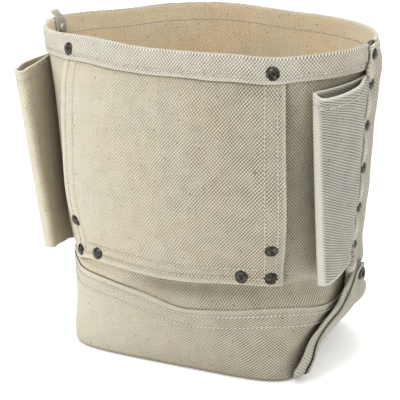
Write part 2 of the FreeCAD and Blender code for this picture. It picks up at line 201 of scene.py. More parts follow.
# ---- the wall's surface
def smooth_levels():
    """The wall's level values at every millimetre of height, rounded where they change slope."""
    z = np.arange(-40, HEIGHT + 41)
    window = np.hanning(31)
    window /= window.sum()
    columns = []
    for k in range(1, 5):
        column = np.interp(z, WALL_LEVELS[:, 0], WALL_LEVELS[:, k])
        columns.append(np.convolve(np.pad(column, 15, "edge"), window, "valid"))
    return z, columns


LEVEL_Z, LEVEL_COLUMNS = smooth_levels()


def outline(z, angle):
    """Point of the wall's outline at a height and polar angle, and its outward normal."""
    half_width, front, back, power = [np.interp(z, LEVEL_Z, column) for column in LEVEL_COLUMNS]
    depth = np.where(np.sin(angle) < 0, front, back)
    c = np.cos(angle)
    s = np.sin(angle)
    radius = (np.abs(c / half_width) ** power + np.abs(s / depth) ** power) ** (-1 / power)
    x = radius * c
    y = radius * s
    nx = np.sign(x) * np.abs(x / half_width) ** (power - 1) / half_width
    ny = np.sign(y) * np.abs(y / depth) ** (power - 1) / depth
    length = np.hypot(nx, ny)
    return x, y, nx / length, ny / length


# Arc lengths run anticlockwise, seen from above, from the middle of each face
MIDDLE = {"front": -math.pi / 2, "right": 0, "back": math.pi / 2, "left": math.pi}
ARCS = np.arange(-190, 191)
TABLE_Z = np.arange(-6, HEIGHT + 9, 2)


def arc_table(face):
    """Polar angle at each arc length, for each height, and the arc length of the face's two ends."""
    angles = MIDDLE[face] + np.radians(np.linspace(-115, 115, 1151))
    rows = []
    ends = []
    for z in TABLE_Z:
        x, y, _, _ = outline(z, angles)
        travelled = np.concatenate(([0], np.cumsum(np.hypot(np.diff(x), np.diff(y)))))
        travelled -= np.interp(MIDDLE[face], angles, travelled)
        rows.append(np.interp(ARCS, travelled, angles))
        ends.append(np.interp(MIDDLE[face] + math.pi / 2, angles, travelled))
    return np.array(rows), np.array(ends)


TABLES = {face: arc_table(face) for face in MIDDLE}


def half_length(face, z):
    """Arc length from the middle of the front or back to a side seam."""
    return np.interp(z, TABLE_Z, TABLES[face][1])


def angle_at(face, arc, z):
    """Polar angle at an arc length and height."""
    table = TABLES[face][0]
    row = np.clip((z - TABLE_Z[0]) / 2, 0, len(TABLE_Z) - 1.001)
    column = np.clip(arc - ARCS[0], 0, len(ARCS) - 1.001)
    i = row.astype(int)
    j = column.astype(int)
    fr = row - i
    fc = column - j
    low = table[i, j] * (1 - fc) + table[i, j + 1] * fc
    high = table[i + 1, j] * (1 - fc) + table[i + 1, j + 1] * fc
    return low * (1 - fr) + high * fr


def wall_relief(x, y, z):
    """How far the soft wall stands out from its even shape."""
    front = ramp(y, 6, -24)
    back = ramp(y, -6, 24)
    right = ramp(x, -46, -6)
    # The wall turns in under the belt tunnel's bottom edge and comes out again to the double bottom.
    # The hollow is deep on the right and runs out on the left in a fold.
    hollow = ramp(z, 85, 76) * ramp(z, 54, 72)
    relief = -11 * front * right * hollow * ramp(x, 126, 104) * (0.6 + 0.4 * ramp(x, 90, 30))
    edge = smooth_curve(DIP_EDGE["front"], x)
    fold = bump(z, edge + 4.6, 4.6) * ramp(x, -20, -48) * front
    relief += 1.5 * fold - 1.2 * front * ramp(x, -30, -60) * bump(z, 76, 5)
    # Slack in the lower part and broad waves above it
    relief += 1.1 * front * bump(z, 30, 30) * np.sin(x / 30 + 1)
    relief += back * 2 * bump(z, 95, 80) * np.sin(x / 34 + z / 50)
    relief += 0.55 * ripple(x + y, z, 58, 3) * ramp(z, 0, 14) * ramp(z, 254, 228)
    # The folded corners draw the lower part of each side inwards, most at the base
    drawn = np.sqrt(np.maximum(52 - z, 0) ** 2 + 36) - 6
    behind = ramp(y, -74, -26) * (0.45 + 0.55 * ramp(np.abs(x), 20, 95))
    relief -= 0.43 * drawn * behind
    relief -= 7 * ramp(x, -72, -104) * ramp(y, 30, -10) * bump(z, 60, 52)
    # The cloth is drawn in at each rivet of a side seam and stands out between them
    at_seam = ramp(np.abs(y), 26, 3)
    return relief + 0.4 * at_seam * seam_fullness(z) * ramp(z, 60, 90)


def seam_fullness(z):
    """-1 at a side rivet, 1 half way between two."""
    phase = np.interp(z, [62] + SIDE_RIVETS + [268], range(-1, len(SIDE_RIVETS) + 1))
    return -np.cos(TAU * phase) * ramp(z, 62, 78)


def rim_rise(x, y, z):
    """Height that the uneven rim adds."""
    front = 3 * bump(x, -66, 58) - 1.9 * bump(x, 82, 34)
    back = 2.9 * bump(x, -18, 66) - 3.8 * bump(x, -108, 44)
    wave = front * ramp(y, 4, -30) + back * ramp(y, -6, 30)
    return wave * ramp(z, 150, 240)


def skin(face, arc, z, lift=0):
    """Point at an arc length and height of one face, lifted off the wall's outer face."""
    arc, z, lift = np.broadcast_arrays(np.asarray(arc, float), np.asarray(z, float), lift)
    x, y, nx, ny = outline(z, angle_at(face, arc, z))
    inward = FOOT_RADIUS - np.clip(z, 0, FOOT_RADIUS)
    rounding = FOOT_RADIUS - np.sqrt(np.maximum(FOOT_RADIUS ** 2 - inward ** 2, 0))
    out = lift + wall_relief(x, y, z) - rounding
    return np.stack((x + out * nx, y + out * ny, z + rim_rise(x, y, z)), -1)


# ---- meshes
def add_object(name, data):
    made = bpy.data.objects.new(name, data)
    bpy.context.scene.collection.objects.link(made)
    return made


def mesh_object(name, points, faces, threads, finish):
    """Smooth mesh object in metres from points in millimetres, with its cloth coordinates."""
    mesh = bpy.data.meshes.new(name)
    mesh.from_pydata((np.asarray(points) * MM).tolist(), [], [list(f) for f in faces])
    mesh.shade_smooth()
    if len(threads):
        attribute = mesh.attributes.new("cloth", "FLOAT_VECTOR", "POINT")
        attribute.data.foreach_set("vector", np.asarray(threads, np.float32).ravel())
    mesh.materials.append(finish)
    return add_object(name, mesh)


def tube_faces(rings, sides, start=0):
    """Faces of a tube of rings of vertices, closed at both ends; start is its first vertex."""
    faces = []
    for ring in range(rings - 1):
        for k in range(sides):
            a = start + ring * sides + k
            b = start + ring * sides + (k + 1) % sides
            faces.append((a, b, b + sides, a + sides))
    last = start + (rings - 1) * sides
    faces.append([start + k for k in reversed(range(sides))])
    faces.append([last + k for k in range(sides)])
    return faces


RUBBED_REACH = 1.6          # width of the pale line along a rubbed edge
# Extension and height of a rounded edge
RIM_STEPS = ((0.38, 0.92), (0.71, 0.71), (0.92, 0.38), (1, 0))


def with_rims(values, half):
    """Grid lines with the extra lines of a rounded edge at each end, and the thickness left at each."""
    low = [values[0] - half * out for out, _ in reversed(RIM_STEPS)]
    high = [values[-1] + half * out for out, _ in RIM_STEPS]
    fade = [h for _, h in RIM_STEPS]
    scale = np.concatenate((fade[::-1], np.ones(len(values)), fade))
    return np.concatenate((low, values, high)), scale


def volume_sign(points, quads):
    """Sign of a closed mesh's volume."""
    p = points[quads]
    one = np.einsum("ij,ij->i", p[:, 0], np.cross(p[:, 1], p[:, 2])).sum()
    two = np.einsum("ij,ij->i", p[:, 0], np.cross(p[:, 2], p[:, 3])).sum()
    return 1 if one + two > 0 else -1


def sheet_mesh(name, us, vs, place, outer, inner, finish, rim=PLY / 2, worn=(1, 1, 1, 1), coords=None,
               lit_inside=None, fold=None):
    """Closed cloth layer over a grid, between two lifts, with rounded edges.

    place(u, v, lift) gives points; outer and inner are lifts, as numbers or functions of u and v;
    worn says which of the left, right, bottom and top edges are rubbed pale; lit_inside is the
    finish of the inner side, where it differs, a lighter and warmer copy of the canvas as painted light;
    fold is a line along v that is rubbed pale too.
    """
    us_full, us_scale = with_rims(us, rim)
    vs_full, vs_scale = with_rims(vs, rim)
    u, v = np.meshgrid(us_full, vs_full)
    scale = np.minimum(us_scale[None, :], vs_scale[:, None])
    high = outer(u, v) if callable(outer) else np.full(u.shape, outer)
    low = inner(u, v) if callable(inner) else np.full(u.shape, inner)
    middle, half = (high + low) / 2, (high - low) / 2 * scale
    points = np.concatenate([place(u, v, middle + side * half).reshape(-1, 3) for side in (1, -1)])
    rows, columns = u.shape
    index = np.arange(rows * columns).reshape(rows, columns)
    below = index + rows * columns
    border = np.ones(index.shape, bool)
    border[1:-1, 1:-1] = False
    below[border] = index[border]

    def quads_of(grid):
        corners = (grid[:-1, :-1], grid[:-1, 1:], grid[1:, 1:], grid[1:, :-1])
        return np.stack([c.ravel() for c in corners], -1)

    quads = np.concatenate((quads_of(index), quads_of(below)[:, ::-1]))
    edges = [on * np.clip(1 - inside / RUBBED_REACH, 0, 1)
             for on, inside in zip(worn, (u - us[0], us[-1] - u, v - vs[0], vs[-1] - v))]
    if fold is not None:
        edges.append(ramp(np.abs(u - fold), 4.2, 1.2))
    rubbed = np.max(np.stack(edges), 0)
    cu, cv = coords(u, v) if coords else (u, v)
    threads = np.stack((cu, cv, rubbed), -1).reshape(-1, 3)
    threads = np.concatenate((threads, threads))
    used, quads = np.unique(quads, return_inverse=True)
    points, quads = points[used], quads.reshape(-1, 4)
    if volume_sign(points, quads) < 0:
        quads = quads[:, ::-1]
    piece = mesh_object(name, points, quads.tolist(), threads[used], finish)
    # The inner side gets a lighter, warmer copy of the canvas: painted light
    if lit_inside is not None:
        piece.data.materials.append(lit_inside)
        sides = (np.arange(len(quads)) >= len(quads) // 2).astype(np.int32)
        piece.data.polygons.foreach_set("material_index", sides)
    return piece


def cloth(piece, nodes):
    """Attach a canvas piece of the bag itself to the root body, and hide the parts that it stands for.
    """
    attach(piece, "root")
    if nodes:
        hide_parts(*nodes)


def hardware(name, vertices, faces, threads, finish, slot, nodes, body="root"):
    """Make a piece that isn't cloth, such as stitches, rivets, burrs and loose threads, attach it to a
    body and hide the parts that it stands for.
    """
    piece = mesh_object(name, vertices, faces, threads, finish)
    if body:
        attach(piece, body)
    if nodes:
        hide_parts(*nodes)
    return piece


# ---- materials
class Shader:
    """A node tree built by short calls."""

    def __init__(self, name):
        self.material = bpy.data.materials.new(name)
        self.material.use_nodes = True
        self.tree = self.material.node_tree
        self.tree.nodes.clear()
        self.surface = self.node("ShaderNodeBsdfPrincipled")
        self.plugged(self.node("ShaderNodeOutputMaterial"), Surface=self.surface.outputs["BSDF"])

    def node(self, kind, **settings):
        made = self.tree.nodes.new(kind)
        for key, value in settings.items():
            setattr(made, key, value)
        return made

    def put(self, socket, value):
        if hasattr(value, "links"):
            self.tree.links.new(value, socket)
        else:
            socket.default_value = value

    def filled(self, made, *values):
        """First output of a node whose inputs are given in order."""
        for socket, value in zip(made.inputs, values):
            self.put(socket, value)
        return made.outputs[0]

    def plugged(self, made, **values):
        """Outputs of a node whose inputs are given by name, with underscores for spaces."""
        for key, value in values.items():
            self.put(made.inputs[key.replace("_", " ")], value)
        return made.outputs

    def math(self, operation, a, b=0, c=0):
        return self.filled(self.node("ShaderNodeMath", operation=operation), a, b, c)

    def remap(self, value, low, high, to_low=0, to_high=1):
        return self.filled(self.node("ShaderNodeMapRange"), value, low, high, to_low, to_high)

    def times(self, a, b):
        return self.math("MULTIPLY", a, b)

    def plus(self, a, b):
        return self.math("ADD", a, b)

    def wave(self, value, pitch):
        return self.math("SINE", self.times(value, TAU / pitch))

    def mix(self, factor, a, b):
        made = self.node("ShaderNodeMix", data_type="RGBA")
        self.put(made.inputs["Factor"], factor)
        for socket, colour in ((made.inputs[6], a), (made.inputs[7], b)):
            self.put(socket, (*colour, 1) if isinstance(colour, tuple) else colour)
        return made.outputs[2]

    def combine(self, x, y, z=0):
        return self.filled(self.node("ShaderNodeCombineXYZ"), x, y, z)

    def noise(self, vector, scale, detail=2):
        made = self.node("ShaderNodeTexNoise")
        return self.plugged(made, Vector=vector, Scale=scale, Detail=detail)["Fac"]

    def cloth_parts(self):
        """Across the piece, along it, and how rubbed it is, from the mesh."""
        attribute = self.node("ShaderNodeAttribute", attribute_name="cloth")
        return self.plugged(self.node("ShaderNodeSeparateXYZ"), Vector=attribute.outputs["Vector"])

    def finish(self, colour, height=None, distance=0, **values):
        """Set the surface's inputs, and its bumps where a height is given."""
        self.plugged(self.surface, Base_Color=colour, **values)
        if height:
            bumps = self.node("ShaderNodeBump")
            self.plugged(bumps, Strength=1, Distance=distance, Height=height)
            self.plugged(self.surface, Normal=bumps.outputs["Normal"])
        return self.material


def tinted(colour, share):
    return tuple(c * k for c, k in zip(colour, share))


def canvas(name, lean=0.82, pitch=2.43, colour=(0.415, 0.38, 0.295), depth=1, rub=0.35, smooth=1,
           wide_painted_shade=0.5):
    """Heavy undyed cotton duck: diagonal rib over a plain weave, slubs, seed flecks and rubbed edges;
    painted shade darkens creases and gaps, and smooth is how much of the weave's dark colour is left at
    the left side, where it fades as painted light.
    """
    s = Shader(name)
    u, v, worn = s.cloth_parts()
    flat = s.combine(u, v)
    blotch = s.noise(flat, 0.018, 2)
    fuzz = s.noise(flat, 1.4, 2)
    # Two diagonal ribs, one stronger, over the plain weave
    wander = s.times(s.math("SUBTRACT", s.noise(flat, 0.035, 3), 0.5), 9)
    leaning = s.times(v, lean)
    ribs = []
    for across in (s.math("SUBTRACT", u, leaning), s.plus(u, leaning)):
        phase = s.plus(s.times(across, TAU / pitch), wander)
        ribs.append(s.math("MULTIPLY_ADD", s.math("SINE", phase), 0.5, 0.5))
    plain = s.math("MULTIPLY_ADD", s.times(s.wave(u, 0.74), s.wave(v, 0.92)), 0.5, 0.5)
    weave = s.plus(s.times(ribs[0], 0.50), s.times(plain, 0.18))
    weave = s.remap(s.plus(weave, s.times(ribs[1], 0.32)), 0.24, 0.76)
    slub_u = s.noise(s.combine(s.times(u, 0.05), s.times(v, 0.9)), 1)
    slub_v = s.noise(s.combine(s.times(u, 0.8), s.times(v, 0.04), 7), 1)
    slubs = s.plus(s.times(slub_u, 0.5), s.times(slub_v, 0.5))
    # The weave shows less in patches, and towards the left its dark colour fades: painted light for the
    # brightly lit left side
    patchy = s.remap(s.noise(flat, 0.08), 0.35, 0.65, 0.82, 1)
    presence = s.times(patchy, s.remap(u, -85, 60, smooth, 1))
    shade = s.times(s.math("SUBTRACT", 1, weave), presence)

    light = tuple(min(0.95, c * k) for c, k in zip(colour, (1.48, 1.48, 1.50)))
    dark = tinted(colour, (0.24, 0.225, 0.18))
    base = s.mix(s.remap(blotch, 0.35, 0.65), tinted(light, (1.02, 0.985, 0.93)),
                 tinted(light, (0.97, 1, 0.99)))
    base = s.mix(s.remap(slubs, 0.30, 0.70, 0, 0.24), base, dark)
    base = s.mix(s.times(shade, 0.98 * depth), base, dark)
    base = s.mix(s.remap(fuzz, 0.35, 0.8, 0, 0.16), base, (0.74, 0.70, 0.60))
    # Flecks of cotton seed, in some cells of a coarse pattern
    seeds = s.plugged(s.node("ShaderNodeTexVoronoi", voronoi_dimensions="2D"), Vector=flat, Scale=0.11)
    chosen = s.plugged(s.node("ShaderNodeSeparateColor"), Color=seeds["Color"])
    rare = s.math("GREATER_THAN", chosen[0], 0.62)
    size = s.math("MULTIPLY_ADD", chosen[1], 0.045, 0.03)
    seed = s.times(s.math("LESS_THAN", seeds["Distance"], size), rare)
    base = s.mix(s.times(seed, 0.75), base, (0.15, 0.09, 0.05))
    base = s.mix(s.times(worn, rub), base, (0.68, 0.65, 0.57))
    # Painted shade: creases, narrow gaps and hollows turn darker and browner where ambient occlusion
    # finds the surface closed in
    for distance, low, high, share in ((0.006, 0.30, 0.85, 0.75), (0.026, 0.20, 0.80, wide_painted_shade)):
        gap = s.plugged(s.node("ShaderNodeAmbientOcclusion", samples=8), Distance=distance)
        painted_shade = s.remap(gap["AO"], low, high, share, 0)
        base = s.mix(painted_shade, base, tinted(colour, (0.40, 0.345, 0.23)))
    height = s.plus(s.times(weave, presence), s.times(fuzz, 0.35))
    height = s.plus(height, s.times(slubs, 0.5))
    return s.finish(base, height, 0.00075 * depth, Roughness=0.92, Specular_IOR_Level=0.22,
                    Sheen_Weight=0.18, Sheen_Roughness=0.55)


def thread_material():
    """Off-white spun cotton thread."""
    s = Shader("thread")
    u, v, _ = s.cloth_parts()
    twist = s.math("SINE", s.times(s.plus(u, v), 9))
    soft = s.noise(s.combine(u, v), 1.3)
    base = s.mix(s.remap(twist, -1, 1, 0, 0.45), (0.66, 0.63, 0.55), (0.45, 0.42, 0.335))
    base = s.mix(s.remap(soft, 0.3, 0.7, 0, 0.3), base, (0.64, 0.62, 0.56))
    return s.finish(base, twist, 0.00012, Roughness=0.75, Sheen_Weight=0.2)


def metal_material(name, colour, dull, roughness, pit):
    """Plated metal with a dull film, small pits and hammer marks."""
    s = Shader(name)
    where = s.node("ShaderNodeNewGeometry").outputs["Position"]
    marks = s.noise(where, 420, 4)
    pits = s.noise(where, 1500, 2)
    base = s.mix(s.remap(marks, 0.38, 0.66), colour, dull)
    gloss = s.remap(marks, 0.3, 0.7, roughness, roughness + 0.2)
    return s.finish(base, s.plus(marks, s.times(pits, 0.3)), pit, Metallic=1, Roughness=gloss)


CANVAS = canvas("canvas_body", colour=(0.443, 0.407, 0.312), smooth=0.3)
# The bag's inner side: the same canvas painted lighter and warmer, with less weave, as painted light
CANVAS_INSIDE_LIT = canvas("canvas_inside_painted_light", colour=(0.60, 0.503, 0.358), depth=0.34)
CANVAS_HEM = canvas("canvas_hem", colour=(0.52, 0.488, 0.418), depth=0.95, smooth=0.7)
CANVAS_BOTTOM = canvas("canvas_bottom", lean=1.38, pitch=2.9, colour=(0.434, 0.401, 0.312), smooth=0.3)
CANVAS_SLEEVE = canvas("canvas_sleeve", lean=-2.3, pitch=4.8, colour=(0.37, 0.36, 0.318), rub=0.8)
# The left sleeve: the same canvas painted much lighter and with less painted shade, as painted light on
# its unlit side
CANVAS_LEFT_SLEEVE_LIT = canvas("canvas_sleeve_left_painted_light", colour=(0.61, 0.547, 0.41), depth=0.68, wide_painted_shade=0.22)
CANVAS_EAR = canvas("canvas_ear", lean=-1, pitch=2.9, colour=(0.31, 0.29, 0.222))
CANVAS_TAPE = canvas("canvas_tape", colour=(0.41, 0.38, 0.32), depth=0.8)
THREAD = thread_material()
# The rivets' nickel gets a very dark colour: a painted dark reflection of the studio around them
RIVET_PAINTED_DARK = metal_material("rivet_nickel_painted_dark", (0.085, 0.082, 0.072), (0.018, 0.015, 0.012), 0.12, 0.00030)
BURR = metal_material("burr_steel", (0.52, 0.51, 0.49), (0.32, 0.31, 0.29), 0.3, 0.00008)


# ---- stitches
RING_TURNS = np.linspace(0, TAU, 8)[:-1]
STITCH_SHAPE = ((0, 0.30), (0.12, 0.78), (0.34, 1), (0.66, 1), (0.88, 0.78), (1, 0.30))


def seam_frames(place, u, v, lift):
    """Points of a seam on a surface and the surface's outward directions there."""
    step = 0.4
    points = place(u, v, lift)
    along_u = place(u + step, v, lift) - place(u - step, v, lift)
    along_v = place(u, v + step, lift) - place(u, v - step, lift)
    normals = np.cross(along_u, along_v)
    normals /= np.linalg.norm(normals, axis=-1, keepdims=True)
    return points, normals


def stitch_run(points, normals, slant, seed):
    """Vertices and faces of one row of short thread grains along a line of points."""
    travelled = run_length(points)
    rng = np.random.default_rng(seed)
    vertices = []
    faces = []
    threads = []
    starts = np.arange(0.4, travelled[-1] - STITCH_LENGTH, STITCH_PITCH)

    def at(distance, array):
        return np.array([np.interp(distance, travelled, array[:, k]) for k in range(3)])

    for begin in starts:
        begin = begin + rng.uniform(-0.12, 0.12)
        length = STITCH_LENGTH * rng.uniform(0.92, 1.04)
        head, tail = at(begin, points), at(begin + length, points)
        normal = at(begin + length / 2, normals)
        normal /= np.linalg.norm(normal)
        along = (tail - head) / np.linalg.norm(tail - head)
        side = np.cross(normal, along)
        lean = math.tan(math.radians(slant + rng.uniform(-4, 4)))
        faces += tube_faces(len(STITCH_SHAPE), len(RING_TURNS), len(vertices))
        for t, width in STITCH_SHAPE:
            centre = head + along * (length * t) + side * (lean * length * (t - 0.5))
            centre = centre + normal * (0.34 * (1 - (2 * t - 1) ** 2) - 0.12)
            radius = STITCH_RADIUS * width
            for turn in RING_TURNS:
                vertices.append(centre + radius * (math.cos(turn) * side + math.sin(turn) * normal))
                threads.append((begin + length * t, turn * 0.35, 0))
    return vertices, faces, threads


def joined(parts):
    """Vertices, faces and cloth coordinates of several parts as one."""
    vertices, faces, threads = [], [], []
    for more, quads, coords in parts:
        faces += [[i + len(vertices) for i in face] for face in quads]
        vertices += more
        threads += coords
    return vertices, faces, threads


def stitches(name, runs, nodes, slant=13, body="root"):
    """One object of several stitch rows; a run is (place, u values, v values, lift)."""
    rows = []
    for number, (place, u, v, lift) in enumerate(runs):
        u, v = np.broadcast_arrays(np.asarray(u, float), np.asarray(v, float))
        rows.append(stitch_run(*seam_frames(place, u, v, lift), slant, number + 5))
    return hardware(name, *joined(rows), THREAD, "thread", nodes, body)


def groove(value, seams, depth=0.45, width=1.6):
    """Dent that tight stitches leave along seams at these values."""
    return -depth * sum(bump(value, seam, width) for seam in seams)


# ---- body wall
REFERENCE = 172             # nominal half length of a face, which grid columns are shared out over


def on_face(face, u, z):
    """Arc length and height of a grid point, whose columns keep their share of the face's length."""
    return u / REFERENCE * half_length(face, z), z


def wall_place(face, u, v, lift):
    return skin(face, *on_face(face, u, v), lift)


def make_wall(face):
    us = lines(-REFERENCE, REFERENCE, GRID)
    vs = lines(PLY * 2, HEIGHT - 2.6, GRID)
    piece = sheet_mesh(face + "_wall", us, vs, partial(wall_place, face), 0, -PLY, CANVAS,
                       worn=(0, 0, 0, 0), coords=partial(on_face, face), lit_inside=CANVAS_INSIDE_LIT)
    cloth(piece, ["body_" + face])


# ---- rim hem
HEM_FOLD = 1                # radius of the middle of the fold over the rim
HEM_RISE = HEIGHT - 1.95    # height of the fold's centre
HEM_OUTSIDE = HEM_RISE - (HEIGHT - HEM_HEIGHT)
HEM_ROUND = math.pi * HEM_FOLD
HEM_INSIDE = 5


def hem_path(v):
    """Height, middle lift, half thickness and turn along the hem, from its lower edge over the rim."""
    turn = np.clip((v - HEM_OUTSIDE) / HEM_FOLD, 0, math.pi)
    z = HEM_RISE + HEM_FOLD * np.sin(turn) + np.minimum(v - HEM_OUTSIDE, 0)
    z = z - np.maximum(v - HEM_OUTSIDE - HEM_ROUND, 0)
    return z, 0.35 + HEM_FOLD * np.cos(turn), 1.22 - 0.55 * turn / math.pi, turn


def hem_lift(face, arc, z, turn):
    """The hem rides over the top of the belt tunnel and is slightly wavy."""
    out = 0.30 * ripple(arc, z, 36, 21) * ramp(z, HEIGHT, HEIGHT - 14)
    if face == "front":
        over = ramp(np.abs(arc), TUNNEL_HALF + 7, TUNNEL_HALF - 2)
        out = out + 1.35 * over * ramp(z, HEIGHT - 3, HEIGHT - 11)
    return out * (1 - turn / math.pi)


def hem_arc(face, u, z):
    return u / REFERENCE * (half_length(face, z) - HEM_END)


def hem_place(face, u, v, share):
    """share runs from -1 on the inner side of the band to 1 on its outer side."""
    z, middle, half, turn = hem_path(v)
    z = z + 0.5 * ripple(u, 0 * u, 60, 31) * ramp(v, 9, 0)
    arc = hem_arc(face, u, z)
    lift = middle + hem_lift(face, arc, z, turn) + np.cos(turn) * half * share
    return skin(face, arc, np.minimum(z + np.sin(turn) * half * share, HEIGHT + 3), lift)


def paint_inside(piece, start):
    """Give the part of a hem that lies inside the bag the finish of the bag's inner side, whose lighter,
    warmer colour is painted light.
    """
    mesh = piece.data
    threads = np.zeros(len(mesh.vertices) * 3, np.float32)
    mesh.attributes["cloth"].data.foreach_get("vector", threads)
    along = threads.reshape(-1, 3)[:, 1]
    mesh.materials.append(CANVAS_INSIDE_LIT)
    for face in mesh.polygons:
        face.material_index = int(along[list(face.vertices)].mean() > start)


def make_hem(face):
    place = partial(hem_place, face)
    us = lines(-REFERENCE, REFERENCE, GRID)
    fold = np.linspace(HEM_OUTSIDE, HEM_OUTSIDE + HEM_ROUND, 8)
    vs = np.unique(np.concatenate((lines(0, HEM_OUTSIDE, 1.6, (HEM_SEAM,)), fold,
                                   [HEM_OUTSIDE + HEM_ROUND + HEM_INSIDE])))

    def outer(u, v):
        dent = groove(v, (HEM_SEAM,), 0.40) + groove(v, (HEM_SEAM + 9.5,), -0.14, 6)
        pucker = 0.10 * np.sin(TAU * u / 6.3) * bump(v, HEM_SEAM, 4)
        return 1 + dent + pucker

    def coords(u, v):
        return hem_arc(face, u, HEIGHT), v + 3

    piece = sheet_mesh("rim_hem_" + face, us, vs, place, outer, -1, CANVAS_HEM, rim=1.1,
                       worn=(1, 1, 1, 0), coords=coords)
    paint_inside(piece, HEM_OUTSIDE + 0.8 * HEM_ROUND + 3)
    cloth(piece, ["hem_" + face])
    start = -0.79 if face == "front" else -0.985
    run = np.linspace(start * REFERENCE, 0.985 * REFERENCE, 400)
    stitches("hem_stitches_" + face, [(place, run, HEM_SEAM, 0.66)], ["thread_hem_" + face])
    arc = half_length(face, HEIGHT - 20) - HEM_END - 4
    inside = np.linspace(arc, -arc, 400)
    stitches("hem_stitches_inside_" + face,
             [(partial(skin, face), inside, HEIGHT - HEM_HEIGHT + HEM_SEAM, -PLY + 0.05)], [], -13)


# ---- belt tunnel
def tunnel_place(u, v, lift):
    """v is the height; the panel stands off the wall between its sewn foot and the hem."""
    up = v - TUNNEL_BOTTOM
    t = np.clip((up - 14) / (HEIGHT - HEM_HEIGHT - TUNNEL_BOTTOM - 14), 0, 1)
    stand_off = TUNNEL_STAND_OFF * (1 - np.abs(2 * t - 1) ** 2.6)
    # The panel doesn't follow the hollow under its own bottom edge
    z = np.maximum(v, TUNNEL_BOTTOM + 4.5)
    u = u + 3.6 * ramp(u, -40, -90) * bump(v, 165, 100)
    out = lift + stand_off + 1.2 * ramp(up, 7, 0)
    # Drag lines from the lower left rivets, and slow swells
    drag = np.sin((u * 0.62 + v * 0.78 - 30) / 4.6) * bump(u, -48, 42) * bump(v, 118, 34)
    swell = ripple(u, v, 74, 8) * ramp(up, 6, 38.5) * ramp(v, 236, 200)
    # The right edge lifts away more than the left one
    out = out + 0.9 * (drag + swell) + 4.6 * ramp(u, 58, 90) * bump(v, 128, 52)
    points = skin("front", u, z, out)
    # The bottom edge sags at its left end and between the rivets
    sag = 4 * ramp(u, -66, -90) + 2.6 * bump(u, 0, 62) + 1.2 * ramp(u, 60, 90)
    points[..., 2] += v - z - sag * ramp(up, 34, 0)
    return points


def make_tunnel():
    left = [-TUNNEL_HALF + d for d in TUNNEL_SIDE_SEAMS]
    right = [TUNNEL_HALF - d for d in TUNNEL_SIDE_SEAMS]
    low = [TUNNEL_BOTTOM + d for d in TUNNEL_FOOT_SEAMS]
    us = lines(-TUNNEL_HALF, TUNNEL_HALF, GRID, left + right)
    vs = lines(TUNNEL_BOTTOM, TUNNEL_TOP, GRID, low)
    hem = TUNNEL_SIDE_SEAMS[1] + 1.6

    def outer(u, v):
        edge = TUNNEL_HALF - np.abs(u)
        up = v - TUNNEL_BOTTOM
        thick = np.maximum(0.75 * ramp(edge, hem + 1.2, hem - 0.6), 0.55 * ramp(up, 14.2, 12.6))
        dents = groove(edge, TUNNEL_SIDE_SEAMS, 0.42)
        dents = dents + groove(v, low, 0.42) * ramp(edge, hem, hem + 3)
        near = np.clip(bump(edge, 8.7, 9) + bump(up, 7.7, 9), 0, 1)
        return PLY + thick + dents + 0.13 * ripple(u, v, 7.5, 41) * near

    def inner(u, v):
        return 0.25 - 0.35 * ramp(TUNNEL_HALF - np.abs(u), hem + 1, hem - 1)

    piece = sheet_mesh("belt_tunnel_panel", us, vs, tunnel_place, outer, inner, CANVAS, rim=0.95)
    cloth(piece, ["belt_tunnel"])
    columns = np.linspace(TUNNEL_BOTTOM + 2, HEIGHT - HEM_HEIGHT, 240)
    stitches("tunnel_side_stitches", [(tunnel_place, u, columns, PLY + 0.42) for u in left + right],
             ["thread_tunnel_sides"])
    runs = []
    for row, inset, lift in ((low[0], 3, 0.42), (low[1], 14.5, 0.32)):
        along = np.linspace(-TUNNEL_HALF + inset, TUNNEL_HALF - inset, 240)
        runs.append((tunnel_place, along, row, PLY + lift))
    stitches("tunnel_foot_stitches", runs, ["thread_tunnel_bottom"])


# ---- double bottom
def dip_arc(face, u):
    return on_face(face, u, 60)[0]


def dip_height(face, arc):
    """Height of the double bottom's top edge at an arc length."""
    arc = np.asarray(arc, float)
    x, _, _, _ = outline(60, angle_at(face, arc, np.full(arc.shape, 60)))
    return smooth_curve(DIP_EDGE[face], x) + 0.35 * ripple(arc, 0 * arc, 40, 51)


def dip_place(face, u, v, lift):
    """v is the height from the dipped edge, negative below it, and is scaled to end at the base."""
    fixed = DIP_SEAMS[1] + 4
    edge = dip_height(face, dip_arc(face, u))
    below = (edge - fixed) * (v + DIP_DEPTH) / (DIP_DEPTH - fixed)
    return wall_place(face, u, np.where(v > -fixed, edge + v, below), lift)


def make_double_bottom(face):
    place = partial(dip_place, face)
    us = lines(-REFERENCE, REFERENCE, GRID)
    seams = [-s for s in DIP_SEAMS]
    toe = [-DIP_DEPTH + d for d in (0.15, 0.5, 1.1, 1.9, 2.9)]
    vs = np.unique(np.concatenate((lines(-DIP_DEPTH + 3.9, 0, GRID, seams), toe)))

    def outer(u, v):
        thick = PLY + 0.75 * ramp(v, -DIP_SEAMS[1] - 3.4, -DIP_SEAMS[1] - 1.8)
        return thick + groove(v, seams, 0.42) + 0.14 * ripple(u, v, 8, 43) * bump(v, -8, 10)

    def coords(u, v):
        arc = dip_arc(face, u)
        return arc, v + dip_height(face, arc)

    piece = sheet_mesh("double_bottom_" + face, us, vs, place, outer, 0.02, CANVAS_BOTTOM, rim=0.95,
                       worn=(0, 0, 0, 1), coords=coords)
    cloth(piece, ["bottom_patch_" + face])
    run = np.linspace(-0.90 * REFERENCE, 0.90 * REFERENCE, 400)
    stitches("double_bottom_stitches_" + face, [(place, run, seam, PLY + 0.42) for seam in seams],
             ["thread_patch_" + face])


